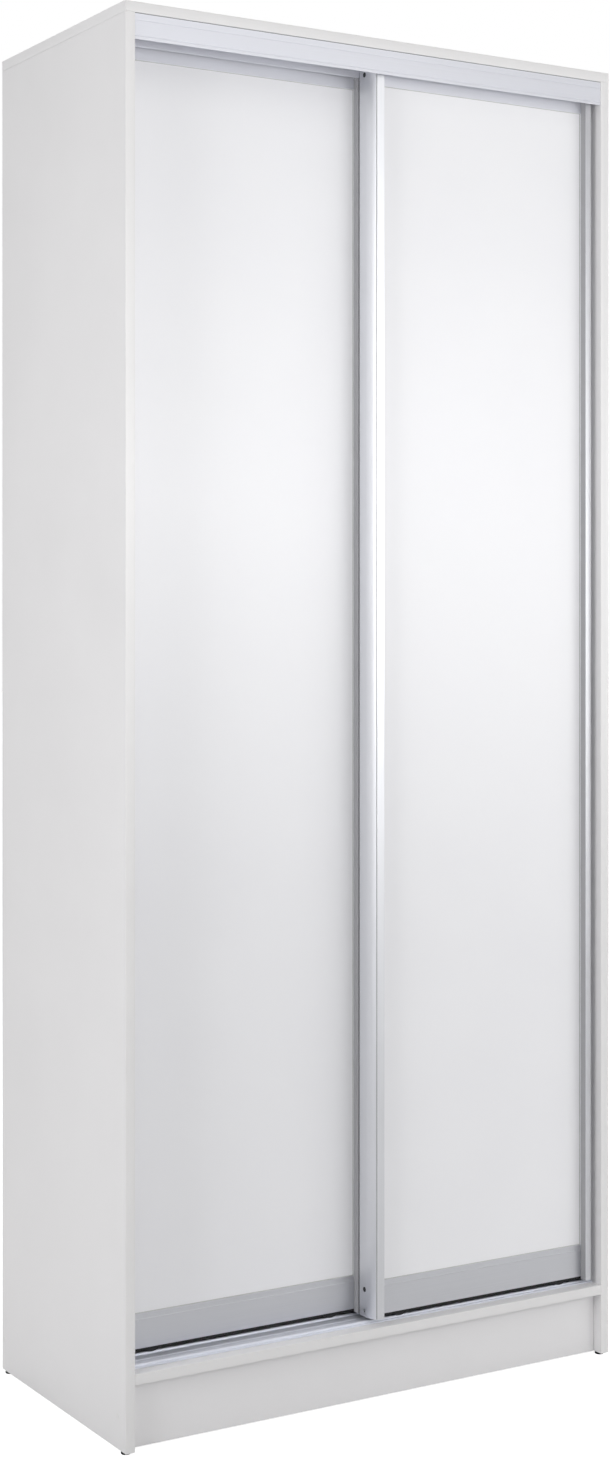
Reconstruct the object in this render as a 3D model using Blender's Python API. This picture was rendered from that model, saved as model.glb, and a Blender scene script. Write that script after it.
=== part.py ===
"""Sliding door wardrobe: a flat-pack carcass of melamine-faced board with two aluminium-framed doors.

Units are metres, +Z is up and the doors face -Y. The origin lies on the floor, under the middle of the
wardrobe. Every size and clearance has one named value below, and all places are worked out from them.
"""
import math

import bmesh
import bpy
from mathutils import Vector
from mathutils.geometry import tessellate_polygon

MM = 0.001

# Flats around a turned piece
FINE_ROUND = 48
ROUND = 32
SMALL_ROUND = 16

# Overall sizes
WIDTH = 920 * MM
DEPTH = 470 * MM
HEIGHT = 2200 * MM

# Boards and their fits
BOARD = 16 * MM
BACK_BOARD = 3 * MM
SHELF_BOARD = 16 * MM
BOARD_EDGE = 0.5 * MM
SEAT_GAP = 0.2 * MM
BACK_INSET = 2 * MM
PLINTH_HEIGHT = 101.5 * MM
PLINTH_SETBACK = 20 * MM
FOOT_HEIGHT = 4.5 * MM
FOOT_RADIUS = 8 * MM
FOOT_INSET = 15 * MM
FOOT_EDGE = 1 * MM

# Inside
HAT_SPACE = 330 * MM
SHELF_COUNT = 3
SHELF_SETBACK = 12 * MM
SHELF_SIDE_GAP = 0.5 * MM
PARTITION_CLEARANCE = 8 * MM
PIN_RADIUS = 2.5 * MM
PIN_DEPTH = 8 * MM
PIN_HEAD_RADIUS = 3.8 * MM
PIN_HEAD_LENGTH = 7 * MM
PIN_INSET = 37 * MM
PIN_FIT = 0.15 * MM
TUBE_RADIUS = 12.5 * MM
TUBE_WALL = 1.2 * MM
TUBE_DROP = 42 * MM
TUBE_END_SPACE = 22 * MM
TUBE_FIT = 0.2 * MM
TUBE_HOLDER_WALL = 3 * MM
TUBE_HOLDER_WIDTH = 12 * MM
TUBE_HOLDER_PLATE_LENGTH = 52 * MM
TUBE_HOLDER_PLATE = 3 * MM
TUBE_HOLDER_STEM = 10 * MM
TUBE_HOLDER_INSET = 20 * MM

# Door frames
DOOR_SETBACK = 10 * MM
DOOR_END_GAP = 5 * MM
LANE_GAP = 3 * MM
STILE_FACE = 14 * MM
STILE_FACE_SLOPE = 3.5 * MM
STILE_CURVE = 6 * MM
STILE_FLAT = 16 * MM
STILE_DEPTH = 44 * MM
STILE_WALL = 1.4 * MM
STILE_CREASE = 1.1 * MM
STILE_BEAD = 0.5 * MM
STILE_ARC_STEPS = 12
PANEL_BOARD = 10 * MM
PANEL_GRIP = 9 * MM
PANEL_FIT = 0.3 * MM
DOOR_FLOOR_GAP = 9 * MM
DOOR_HEAD_GAP = 18 * MM
RAIL_LIFT = 4.5 * MM
RAIL_HEIGHT = 54 * MM
RAIL_LIP = 10 * MM
RAIL_LIP_WALL = 2.5 * MM
RAIL_SKIN = 1.5 * MM
RAIL_WEB = 2 * MM
RAIL_BACK = 4.5 * MM
RAIL_STEP = 1 * MM
RAIL_STEP_DROP = 8.5 * MM
HEAD_RAIL_DROP = 6 * MM
HEAD_RAIL_HEIGHT = 29 * MM
SCREW_HOLE_RADIUS = 2.8 * MM
SCREW_HOLE_BACK = 7 * MM
SCREW_HOLE_LOW = 9.5 * MM
SCREW_HOLE_HIGH = 44 * MM
SCREW_HOLE_TOP = 17.5 * MM
SEAL_WIDTH = 7 * MM

# Rollers and guides
WHEEL_RUN_RADIUS = 17.5 * MM
WHEEL_FLANGE = 1.2 * MM
WHEEL_WIDTH = 8 * MM
WHEEL_SIDE_GAP = 0.5 * MM
AXLE_RADIUS = 3 * MM
AXLE_FIT = 0.25 * MM
WHEEL_INSET = 62 * MM
WHEEL_HOLDER_DROP = 5.5 * MM
WHEEL_HOLDER_END = 8 * MM
WHEEL_TIP_GAP = 1.5 * MM
GUIDE_LENGTH = 42 * MM
GUIDE_INSET = 48 * MM
GUIDE_THICKNESS = 11.4 * MM
GUIDE_REACH = 4 * MM
GUIDE_FIT = 0.3 * MM

# Tracks
TRACK_BASE = 1.2 * MM
RIDGE_HEIGHT = 4 * MM
RIDGE_WIDTH = 6 * MM
RIDGE_ARC_STEPS = 8
LANE_GROOVE = 0.7 * MM
LANE_GROOVE_WIDTH = 4 * MM
TRACK_MARGIN = 8.5 * MM
TRACK_BEAD = 1.2 * MM
FASCIA_SETBACK = 1.5 * MM
FASCIA_WALL = 1.8 * MM
FASCIA_HEIGHT = 40 * MM
FASCIA_GROOVE = 0.7 * MM
FASCIA_GROOVE_TOP = 11 * MM
FASCIA_LIP = 5.5 * MM
HEAD_WEB = 1.6 * MM
HEAD_WALL = 1.2 * MM
HEAD_WALL_HEIGHT = 37.5 * MM
CHANNEL_WALL = 1.2 * MM
CHANNEL_HEIGHT = 13 * MM

# Worked-out places, measured from the outer left front corner at floor height
LEFT = -WIDTH / 2
FRONT = -DEPTH / 2
CARCASS_BACK = FRONT + DEPTH - BACK_BOARD - SEAT_GAP
INNER_LEFT = LEFT + BOARD
INNER_RIGHT = -INNER_LEFT
FLOOR_BOARD_LOW = FOOT_HEIGHT + PLINTH_HEIGHT
FLOOR_BOARD_TOP = FLOOR_BOARD_LOW + BOARD
ROOF_LOW = HEIGHT - BOARD

STILE_WIDTH = STILE_FACE + STILE_CURVE
INNER_WIDTH = INNER_RIGHT - INNER_LEFT
DOOR_WIDTH = (INNER_WIDTH - 2 * DOOR_END_GAP + STILE_WIDTH) / 2
LANE_PITCH = STILE_DEPTH + LANE_GAP
DOOR_LOW = FLOOR_BOARD_TOP + DOOR_FLOOR_GAP
DOOR_HIGH = ROOF_LOW - DOOR_HEAD_GAP
DOOR_HEIGHT = DOOR_HIGH - DOOR_LOW
PANEL_Y = STILE_DEPTH / 2
GROOVE_HALF = PANEL_BOARD / 2 + PANEL_FIT
RAIL_FRONT = PANEL_Y - GROOVE_HALF - RAIL_LIP_WALL
RAIL_REAR = PANEL_Y + GROOVE_HALF + RAIL_LIP_WALL + RAIL_BACK
RAIL_TOP = RAIL_LIFT + RAIL_HEIGHT
HEAD_RAIL_TOP = DOOR_HEIGHT - HEAD_RAIL_DROP
HEAD_RAIL_LOW = HEAD_RAIL_TOP - HEAD_RAIL_HEIGHT
FRONT_LANE = FRONT + DOOR_SETBACK
REAR_LANE = FRONT_LANE + LANE_PITCH
LANES_BACK = REAR_LANE + STILE_DEPTH
INSIDE_FRONT = LANES_BACK + PARTITION_CLEARANCE

RIDGE_TOP = FLOOR_BOARD_TOP + SEAT_GAP + TRACK_BASE + RIDGE_HEIGHT
WHEEL_CENTRE_Z = RIDGE_TOP + SEAT_GAP + WHEEL_RUN_RADIUS - DOOR_LOW
WHEEL_RADIUS = WHEEL_RUN_RADIUS + WHEEL_FLANGE

HAT_SHELF_LOW = ROOF_LOW - HAT_SPACE - SHELF_BOARD
PARTITION_LOW = FLOOR_BOARD_TOP + SEAT_GAP
PARTITION_HIGH = HAT_SHELF_LOW - SEAT_GAP
BAY_LEFT = BOARD / 2
BAY_RIGHT = INNER_RIGHT

SIDES = (("left", -1), ("right", 1))
ENDS = (("front", FRONT + FOOT_INSET), ("rear", CARCASS_BACK - FOOT_INSET))


# Scene and materials
def clear_scene():
    for item in list(bpy.data.objects):
        bpy.data.objects.remove(item, do_unlink=True)


def make_material(name, colour, roughness, metallic=0.0):
    material = bpy.data.materials.new(name)
    material.use_nodes = True
    shader = material.node_tree.nodes["Principled BSDF"]
    shader.inputs["Base Color"].default_value = (*colour, 1.0)
    shader.inputs["Roughness"].default_value = roughness
    shader.inputs["Metallic"].default_value = metallic
    material.diffuse_color = (*colour, 1.0)
    return material


def make_materials():
    return {
        "board": make_material("white_melamine_board", (0.80, 0.79, 0.79), 0.45),
        "panel": make_material("white_door_panel", (0.86, 0.86, 0.87), 0.40),
        "hardboard": make_material("white_hardboard", (0.72, 0.72, 0.70), 0.60),
        "aluminium": make_material("anodised_aluminium", (0.62, 0.62, 0.66), 0.35, 1.0),
        "chrome": make_material("chromed_steel", (0.75, 0.76, 0.78), 0.12, 1.0),
        "zinc": make_material("zinc_plated_steel", (0.60, 0.61, 0.62), 0.35, 1.0),
        "nylon": make_material("grey_nylon", (0.35, 0.35, 0.36), 0.50),
        "black": make_material("black_plastic", (0.03, 0.03, 0.03), 0.55),
        "brush": make_material("grey_pile_seal", (0.30, 0.30, 0.31), 0.95),
    }


# Mesh helpers
def add_object(name, mesh, material, place, parent=None):
    item = bpy.data.objects.new(name, mesh)
    bpy.context.collection.objects.link(item)
    item.location = place
    item.parent = parent
    if material:
        mesh.materials.append(material)
    return item


def box_mesh(name, size, centre=(0, 0, 0)):
    work = bmesh.new()
    bmesh.ops.create_cube(work, size=1)
    bmesh.ops.scale(work, vec=size, verts=work.verts)
    bmesh.ops.translate(work, vec=centre, verts=work.verts)
    mesh = bpy.data.meshes.new(name)
    work.to_mesh(mesh)
    work.free()
    return mesh


def add_bevel(item, width, segments=1):
    bevel = item.modifiers.new("edge", "BEVEL")
    bevel.width = width
    bevel.segments = segments
    bevel.limit_method = "ANGLE"


def add_box(name, low, high, material, parent=None, bevel=BOARD_EDGE):
    """A box between two corners, with its origin in its middle."""
    low, high = Vector(low), Vector(high)
    item = add_object(name, box_mesh(name, high - low), material, (low + high) / 2, parent)
    if bevel:
        add_bevel(item, bevel)
    return item


def smooth_round(item, angle=35):
    item.data.shade_smooth()
    item.data.set_sharp_from_angle(angle=math.radians(angle))


def cylinder_mesh(name, radius, length, axis, segments=ROUND):
    """A closed cylinder about X, Y or Z, with its middle at the origin."""
    work = bmesh.new()
    bmesh.ops.create_cone(work, cap_ends=True, segments=segments, radius1=radius, radius2=radius, depth=length)
    turn = Vector((0, 0, 1)).rotation_difference(Vector(axis)).to_matrix()
    bmesh.ops.rotate(work, matrix=turn, verts=work.verts)
    mesh = bpy.data.meshes.new(name)
    work.to_mesh(mesh)
    work.free()
    return mesh


def prism_mesh(name, loops, length, axis):
    """Extrudes an outline, and any holes after it, by length from the origin along X or Z."""
    flat = [point for loop in loops for point in loop]
    triangles = tessellate_polygon([[Vector((u, v, 0)) for u, v in loop] for loop in loops])

    def place(u, v, along):
        return (along, u, v) if axis == "X" else (u, v, along)

    work = bmesh.new()
    ends = [[work.verts.new(place(u, v, along)) for u, v in flat] for along in (0, length)]
    for end in ends:
        for triangle in triangles:
            work.faces.new([end[index] for index in triangle])
    start = 0
    for loop in loops:
        for step in range(len(loop)):
            here = start + step
            after = start + (step + 1) % len(loop)
            work.faces.new((ends[0][here], ends[0][after], ends[1][after], ends[1][here]))
        start += len(loop)
    bmesh.ops.recalc_face_normals(work, faces=work.faces)
    mesh = bpy.data.meshes.new(name)
    work.to_mesh(mesh)
    work.free()
    return mesh


def turned_mesh(name, profile, segments):
    """Turns a closed outline of (radius, along Y) points about the Y axis."""
    work = bmesh.new()
    rings = []
    for step in range(segments):
        angle = 2 * math.pi * step / segments
        rings.append([work.verts.new((r * math.cos(angle), y, r * math.sin(angle))) for r, y in profile])
    for step, ring in enumerate(rings):
        following = rings[(step + 1) % segments]
        for index in range(len(profile)):
            after = (index + 1) % len(profile)
            work.faces.new((ring[index], ring[after], following[after], following[index]))
    bmesh.ops.recalc_face_normals(work, faces=work.faces)
    mesh = bpy.data.meshes.new(name)
    work.to_mesh(mesh)
    work.free()
    return mesh


def lathe_along_x(name, profile, segments=SMALL_ROUND):
    """Turns an open outline of (radius, along X) points, whose ends lie on the axis, about X."""
    work = bmesh.new()
    first = work.verts.new((profile[0][1], 0, 0))
    last = work.verts.new((profile[-1][1], 0, 0))
    rings = []
    for step in range(segments):
        angle = 2 * math.pi * step / segments
        ring = [work.verts.new((x, r * math.cos(angle), r * math.sin(angle))) for r, x in profile[1:-1]]
        rings.append(ring)
    for step, ring in enumerate(rings):
        following = rings[(step + 1) % segments]
        work.faces.new((first, ring[0], following[0]))
        for index in range(len(ring) - 1):
            work.faces.new((ring[index], ring[index + 1], following[index + 1], following[index]))
        work.faces.new((ring[-1], last, following[-1]))
    bmesh.ops.recalc_face_normals(work, faces=work.faces)
    mesh = bpy.data.meshes.new(name)
    work.to_mesh(mesh)
    work.free()
    mesh.shade_smooth()
    mesh.set_sharp_from_angle(angle=math.radians(35))
    return mesh


def apply_boolean(item, tool_mesh, place, operation):
    """Cuts a mesh out of an object, or joins it on, at a place given in the object's own axes."""
    tool = bpy.data.objects.new(item.name + "_tool", tool_mesh)
    bpy.context.collection.objects.link(tool)
    tool.parent = item
    tool.location = place
    tool.hide_render = True
    tool.display_type = "WIRE"
    step = item.modifiers.new("cut", "BOOLEAN")
    step.operation = operation
    step.object = tool


def cylinders_mesh(name, radius, length, axis, places, segments=SMALL_ROUND):
    """Several separate cylinders in one mesh, used to cut a row of holes."""
    work = bmesh.new()
    turn = Vector((0, 0, 1)).rotation_difference(Vector(axis)).to_matrix()
    for place in places:
        made = bmesh.ops.create_cone(
            work, cap_ends=True, segments=segments, radius1=radius, radius2=radius, depth=length
        )
        bmesh.ops.rotate(work, matrix=turn, verts=made["verts"])
        bmesh.ops.translate(work, vec=place, verts=made["verts"])
    mesh = bpy.data.meshes.new(name)
    work.to_mesh(mesh)
    work.free()
    return mesh


# Carcass
def shelf_lows():
    """Heights of the undersides of the adjustable shelves, evenly spread below the hat shelf."""
    clear = PARTITION_HIGH - PARTITION_LOW - SHELF_COUNT * SHELF_BOARD
    space = clear / (SHELF_COUNT + 1)
    return [PARTITION_LOW + space * (step + 1) + SHELF_BOARD * step for step in range(SHELF_COUNT)]


def pin_places():
    """Depth and height of each pin's centre, just under its shelf."""
    front = INSIDE_FRONT + SHELF_SETBACK + PIN_INSET
    rear = CARCASS_BACK - PIN_INSET
    low = [height - PIN_HEAD_RADIUS - SEAT_GAP for height in shelf_lows()]
    return [(y, z) for z in low for y in (front, rear)]


def cut_pin_holes(panel, face_x, towards):
    """Drills the blind shelf-pin holes from a panel's face."""
    deep = PIN_DEPTH + PIN_FIT
    middle = face_x + towards * deep / 2
    places = [Vector((middle, y, z)) - panel.location for y, z in pin_places()]
    # the drill starts outside the face, so that no skin is left over the hole
    reach = deep + BOARD_EDGE
    shift = Vector((-towards * BOARD_EDGE / 2, 0, 0))
    holes = cylinders_mesh("pin_drill", PIN_RADIUS + PIN_FIT, reach, (1, 0, 0), [p + shift for p in places])
    apply_boolean(panel, holes, (0, 0, 0), "DIFFERENCE")


def build_side_panels(materials):
    panels = {}
    for side, sign in SIDES:
        outer = sign * WIDTH / 2
        inner = outer - sign * BOARD
        low = (min(outer, inner), FRONT, FOOT_HEIGHT + SEAT_GAP)
        high = (max(outer, inner), CARCASS_BACK, ROOF_LOW - SEAT_GAP)
        panels[side] = add_box(side + "_side_panel", low, high, materials["board"])
    cut_pin_holes(panels["right"], INNER_RIGHT, 1)


def build_top_and_floor(materials):
    inner_left = INNER_LEFT + SEAT_GAP
    inner_right = INNER_RIGHT - SEAT_GAP
    add_box("top_panel", (LEFT, FRONT, ROOF_LOW), (-LEFT, CARCASS_BACK, HEIGHT), materials["board"])
    low = (inner_left, FRONT + BOARD_EDGE, FLOOR_BOARD_LOW)
    add_box("bottom_panel", low, (inner_right, CARCASS_BACK, FLOOR_BOARD_TOP), materials["board"])
    plinth_high = FLOOR_BOARD_LOW - SEAT_GAP
    front_y = FRONT + PLINTH_SETBACK
    rear_y = CARCASS_BACK - BOARD
    for name, start in (("front_plinth", front_y), ("rear_plinth", rear_y)):
        low = (inner_left, start, FOOT_HEIGHT + SEAT_GAP)
        add_box(name, low, (inner_right, start + BOARD, plinth_high), materials["board"])


def build_feet(materials):
    for side, sign in SIDES:
        for end, y in ENDS:
            x = sign * (WIDTH / 2 - BOARD / 2)
            mesh = cylinder_mesh("foot", FOOT_RADIUS, FOOT_HEIGHT, (0, 0, 1))
            name = f"{side}_{end}_foot"
            foot = add_object(name, mesh, materials["black"], (x, y, FOOT_HEIGHT / 2))
            smooth_round(foot)
            add_bevel(foot, FOOT_EDGE, 2)


def build_back(materials):
    low_z = FLOOR_BOARD_LOW + BACK_INSET
    high_z = HEIGHT - BACK_INSET
    back = CARCASS_BACK + SEAT_GAP
    for side, sign in SIDES:
        outer = sign * (WIDTH / 2 - BACK_INSET)
        inner = sign * BACK_INSET / 2
        low = (min(outer, inner), back, low_z)
        high = (max(outer, inner), back + BACK_BOARD, high_z)
        add_box(f"back_panel_{side}", low, high, materials["hardboard"], bevel=0)


def build_inside_boards(materials):
    inner_left = INNER_LEFT + SEAT_GAP
    inner_right = INNER_RIGHT - SEAT_GAP
    low = (inner_left, INSIDE_FRONT, HAT_SHELF_LOW)
    high = (inner_right, CARCASS_BACK, HAT_SHELF_LOW + SHELF_BOARD)
    add_box("hat_shelf", low, high, materials["board"])
    low = (-BOARD / 2, INSIDE_FRONT, PARTITION_LOW)
    partition = add_box("centre_partition", low, (BOARD / 2, CARCASS_BACK, PARTITION_HIGH), materials["board"])
    cut_pin_holes(partition, BOARD / 2, -1)


def build_shelves(materials):
    for number, height in enumerate(shelf_lows(), start=1):
        low = (BAY_LEFT + SHELF_SIDE_GAP, INSIDE_FRONT + SHELF_SETBACK, height)
        high = (BAY_RIGHT - SHELF_SIDE_GAP, CARCASS_BACK - SHELF_SIDE_GAP, height + SHELF_BOARD)
        add_box(f"shelf_{number}", low, high, materials["board"])


def build_shelf_pins(materials):
    """Stepped pins: a stem in the blind hole and a wider head that carries the shelf."""
    stem = PIN_DEPTH
    head = PIN_HEAD_LENGTH
    profile = [
        (0, -stem), (PIN_RADIUS, -stem), (PIN_RADIUS, SEAT_GAP), (PIN_HEAD_RADIUS, SEAT_GAP),
        (PIN_HEAD_RADIUS, head), (0, head),
    ]
    mesh = lathe_along_x("shelf_pin", profile)
    mesh.materials.append(materials["zinc"])
    walls = (("left", BAY_LEFT, 1), ("right", BAY_RIGHT, -1))
    for index, (y, z) in enumerate(pin_places()):
        shelf = index // 2 + 1
        end = ("front", "rear")[index % 2]
        for side, x, towards in walls:
            name = f"shelf_{shelf}_pin_{side}_{end}"
            pin = add_object(name, mesh, None, (x, y, z))
            pin.rotation_euler = (0, 0, 0 if towards > 0 else math.pi)


def build_hanging_rail(materials):
    """A front-to-back tube under the hat shelf of the left bay, in two screwed holders."""
    x = (INNER_LEFT - BOARD / 2) / 2
    z = HAT_SHELF_LOW - TUBE_DROP
    front = INSIDE_FRONT + TUBE_END_SPACE
    rear = CARCASS_BACK - TUBE_END_SPACE
    inner = TUBE_RADIUS - TUBE_WALL
    half = (rear - front) / 2
    profile = [(inner, -half), (TUBE_RADIUS, -half), (TUBE_RADIUS, half), (inner, half)]
    mesh = turned_mesh("hanging_rail", profile, FINE_ROUND)
    tube = add_object("hanging_rail", mesh, materials["chrome"], (x, (front + rear) / 2, z))
    smooth_round(tube)
    for end, y in (("front", front + TUBE_HOLDER_INSET), ("rear", rear - TUBE_HOLDER_INSET)):
        build_rail_holder(f"rail_holder_{end}", x, y, z, materials["chrome"])


def build_rail_holder(name, x, y, z, material):
    bore_radius = TUBE_RADIUS + TUBE_FIT
    ring_radius = bore_radius + TUBE_HOLDER_WALL
    ring = cylinder_mesh(name, ring_radius, TUBE_HOLDER_WIDTH, (0, 1, 0), FINE_ROUND)
    holder = add_object(name, ring, material, (x, y, z))
    smooth_round(holder)
    plate_top = TUBE_DROP - SEAT_GAP
    plate = box_mesh("plate", (TUBE_HOLDER_PLATE_LENGTH, TUBE_HOLDER_WIDTH, TUBE_HOLDER_PLATE))
    stem_height = plate_top - TUBE_HOLDER_PLATE / 2
    stem = box_mesh("stem", (TUBE_HOLDER_STEM, TUBE_HOLDER_WIDTH - BOARD_EDGE, stem_height))
    bore = cylinder_mesh("bore", bore_radius, TUBE_HOLDER_WIDTH * 2, (0, 1, 0), FINE_ROUND)
    apply_boolean(holder, stem, (0, 0, stem_height / 2), "UNION")
    apply_boolean(holder, plate, (0, 0, plate_top - TUBE_HOLDER_PLATE / 2), "UNION")
    apply_boolean(holder, bore, (0, 0, 0), "DIFFERENCE")


# Tracks
def ridge_outline(centre, base):
    """The round-topped ridge that a wheel runs on, from back to front."""
    radius = RIDGE_WIDTH / 2
    arc_z = base + RIDGE_HEIGHT - radius
    points = [(centre + radius, base)]
    for step in range(RIDGE_ARC_STEPS + 1):
        angle = math.pi * step / RIDGE_ARC_STEPS
        points.append((centre + radius * math.cos(angle), arc_z + radius * math.sin(angle)))
    points.append((centre - radius, base))
    return points


def lane_groove_outline(base):
    """The shallow groove that parts the two lanes, from back to front."""
    middle = REAR_LANE - LANE_GAP / 2
    half = LANE_GROOVE_WIDTH / 2
    bottom = half - LANE_GROOVE
    deep = base - LANE_GROOVE
    return [(middle + half, base), (middle + bottom, deep), (middle - bottom, deep), (middle - half, base)]


def build_bottom_track(materials):
    low = FLOOR_BOARD_TOP + SEAT_GAP
    top = low + TRACK_BASE
    front = FRONT_LANE + PANEL_Y - TRACK_MARGIN
    rear = REAR_LANE + PANEL_Y + TRACK_MARGIN
    outline = [(front, low), (rear, low), (rear, top + TRACK_BEAD), (rear - TRACK_BEAD, top + TRACK_BEAD)]
    outline += [(rear - TRACK_BEAD, top)]
    outline += ridge_outline(REAR_LANE + PANEL_Y, top)
    outline += lane_groove_outline(top)
    outline += ridge_outline(FRONT_LANE + PANEL_Y, top)
    outline += [(front + TRACK_BEAD, top), (front + TRACK_BEAD, top + TRACK_BEAD), (front, top + TRACK_BEAD)]
    length = INNER_WIDTH - 2 * SEAT_GAP
    mesh = prism_mesh("bottom_track", [outline], length, "X")
    add_object("bottom_track", mesh, materials["aluminium"], (INNER_LEFT + SEAT_GAP, 0, 0))


def channel_outline(lane, web_low):
    """The two short walls above a lane that the door's top guides run between."""
    low = web_low - CHANNEL_HEIGHT
    middle = lane + PANEL_Y
    half = GUIDE_THICKNESS / 2 + GUIDE_FIT
    points = []
    for near in (middle - half - CHANNEL_WALL, middle + half):
        far = near + CHANNEL_WALL
        points += [(near, web_low), (near, low), (far, low), (far, web_low)]
    return points


def build_top_track(materials):
    """Fascia, middle wall and rear wall under one web, with a guide channel over each lane."""
    high = ROOF_LOW - SEAT_GAP
    web_low = high - HEAD_WEB
    front = FRONT + FASCIA_SETBACK
    inner = front + FASCIA_WALL
    low = ROOF_LOW - FASCIA_HEIGHT
    wall_low = ROOF_LOW - HEAD_WALL_HEIGHT
    middle = REAR_LANE - LANE_GAP / 2
    rear = LANES_BACK + LANE_GAP / 2
    wall_front = middle - HEAD_WALL / 2
    wall_rear = middle + HEAD_WALL / 2
    lip = low + FASCIA_LIP
    groove = high - FASCIA_GROOVE_TOP
    deep = front + FASCIA_GROOVE
    outline = [(front, high), (front, groove + FASCIA_GROOVE), (deep, groove), (front, groove - FASCIA_GROOVE)]
    outline += [(front, lip + FASCIA_GROOVE), (deep, lip), (front, lip - FASCIA_GROOVE)]
    outline += [(front, low), (inner, low), (inner, web_low)]
    outline += channel_outline(FRONT_LANE, web_low)
    outline += [(wall_front, web_low), (wall_front, wall_low), (wall_rear, wall_low), (wall_rear, web_low)]
    outline += channel_outline(REAR_LANE, web_low)
    outline += [(rear, web_low), (rear, wall_low), (rear + HEAD_WALL, wall_low), (rear + HEAD_WALL, high)]
    length = INNER_WIDTH - 2 * SEAT_GAP
    mesh = prism_mesh("top_track", [outline], length, "X")
    add_object("top_track", mesh, materials["aluminium"], (INNER_LEFT + SEAT_GAP, 0, 0))


# Doors; a door's own axes start at the outer left front corner of its bottom edge
def arc_points(start, end, rise, steps):
    """Points on the arc between two points that bulges by rise to the right of the way."""
    start, end = Vector(start), Vector(end)
    half = (end - start).length / 2
    along = (end - start).normalized()
    right = Vector((along.y, -along.x))
    radius = (half * half + rise * rise) / (2 * rise)
    reach = math.asin(half / radius)
    centre = (start + end) / 2 + right * (rise - radius)
    angles = [reach * (2 * step / steps - 1) for step in range(steps + 1)]
    points = [centre + along * radius * math.sin(angle) + right * radius * math.cos(angle) for angle in angles]
    return [(point.x, point.y) for point in points]


def crease_points():
    """The fine groove on a stile's face, just beside its curved side."""
    corner = Vector((STILE_CURVE, STILE_FACE_SLOPE))
    along = (Vector((STILE_WIDTH, 0)) - corner).normalized()
    inward = Vector((-along.y, along.x))
    start = corner + along * STILE_BEAD
    bottom = start + (along + inward) * STILE_CREASE
    end = start + along * 2 * STILE_CREASE
    return [(point.x, point.y) for point in (start, bottom, end)]


def stile_side():
    """The outer side of a left stile: straight at the back, then an arc that turns in to the face."""
    bend = Vector((0, STILE_DEPTH - STILE_FLAT))
    corner = Vector((STILE_CURVE, STILE_FACE_SLOPE))
    # the arc leaves the straight part without a corner when its rise matches the lean of its chord
    lean = math.atan2(STILE_CURVE, bend.y - corner.y)
    rise = (bend - corner).length / 2 * math.tan(lean / 2)
    return [(0, STILE_DEPTH), *arc_points(bend, corner, rise, STILE_ARC_STEPS)]


def stile_outline():
    """Left stile: a curved outer side, a sloping face, a flat inner wall and a groove for the panel."""
    groove_front = PANEL_Y - GROOVE_HALF
    groove_rear = PANEL_Y + GROOVE_HALF
    groove_deep = STILE_WIDTH - PANEL_GRIP - PANEL_FIT
    points = [(STILE_WIDTH, 0), (STILE_WIDTH, groove_front), (groove_deep, groove_front)]
    points += [(groove_deep, groove_rear), (STILE_WIDTH, groove_rear), (STILE_WIDTH, STILE_DEPTH)]
    return points + stile_side() + crease_points()


def stile_chambers():
    """The hollow front and rear chambers of a stile."""
    near = STILE_CURVE + STILE_WALL
    far = STILE_WIDTH - STILE_WALL
    face_wall = STILE_FACE_SLOPE + STILE_WALL
    groove_front = PANEL_Y - GROOVE_HALF - STILE_WALL
    front = [(near, face_wall), (near, groove_front), (far, groove_front), (far, face_wall)]
    groove_rear = PANEL_Y + GROOVE_HALF + STILE_WALL
    rear_wall = STILE_DEPTH - STILE_WALL
    rear = [(STILE_WALL, groove_rear), (STILE_WALL, rear_wall), (far, rear_wall), (far, groove_rear)]
    return [front, rear]


def mirror_outline(loops):
    return [[(STILE_WIDTH - x, y) for x, y in reversed(loop)] for loop in loops]


def build_stiles(prefix, frame, materials):
    loops = [stile_outline(), *stile_chambers()]
    drill_y = PANEL_Y + SCREW_HOLE_BACK
    heights = (SCREW_HOLE_LOW, SCREW_HOLE_HIGH, DOOR_HEIGHT - SCREW_HOLE_TOP)
    for side, section, x in (("left", loops, 0), ("right", mirror_outline(loops), DOOR_WIDTH - STILE_WIDTH)):
        mesh = prism_mesh(f"{prefix}_{side}_stile", section, DOOR_HEIGHT, "Z")
        stile = add_object(f"{prefix}_{side}_stile", mesh, materials["aluminium"], (x, 0, 0), frame)
        smooth_round(stile, 20)
        middle = STILE_WIDTH / 2
        places = [(middle, drill_y, z) for z in heights]
        holes = cylinders_mesh("screw_drill", SCREW_HOLE_RADIUS, STILE_WIDTH * 2, (1, 0, 0), places)
        apply_boolean(stile, holes, (0, 0, 0), "DIFFERENCE")


def rail_outline(low, high, front):
    """An H-shaped rail behind its front face: a groove for the panel above its web, a channel below it."""
    front_lip = PANEL_Y - GROOVE_HALF
    rear_lip = PANEL_Y + GROOVE_HALF
    lip_back = rear_lip + RAIL_LIP_WALL
    web_groove = high - RAIL_LIP
    web_channel = web_groove - RAIL_WEB
    skin_front = RAIL_FRONT + RAIL_SKIN
    skin_rear = RAIL_REAR - RAIL_SKIN
    points = [*front, (front_lip, high), (front_lip, web_groove)]
    points += [(rear_lip, web_groove), (rear_lip, high), (lip_back, high), (lip_back, web_groove)]
    points += [(RAIL_REAR, web_groove), (RAIL_REAR, low), (skin_rear, low), (skin_rear, web_channel)]
    return points + [(skin_front, web_channel), (skin_front, low)]


def bottom_rail_outline():
    """The bottom rail, whose lip is set back a little from its face."""
    lip_front = RAIL_FRONT + RAIL_STEP
    step = RAIL_TOP - RAIL_STEP_DROP
    front = [(RAIL_FRONT, RAIL_LIFT), (RAIL_FRONT, step - RAIL_STEP), (lip_front, step), (lip_front, RAIL_TOP)]
    return rail_outline(RAIL_LIFT, RAIL_TOP, front)


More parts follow.
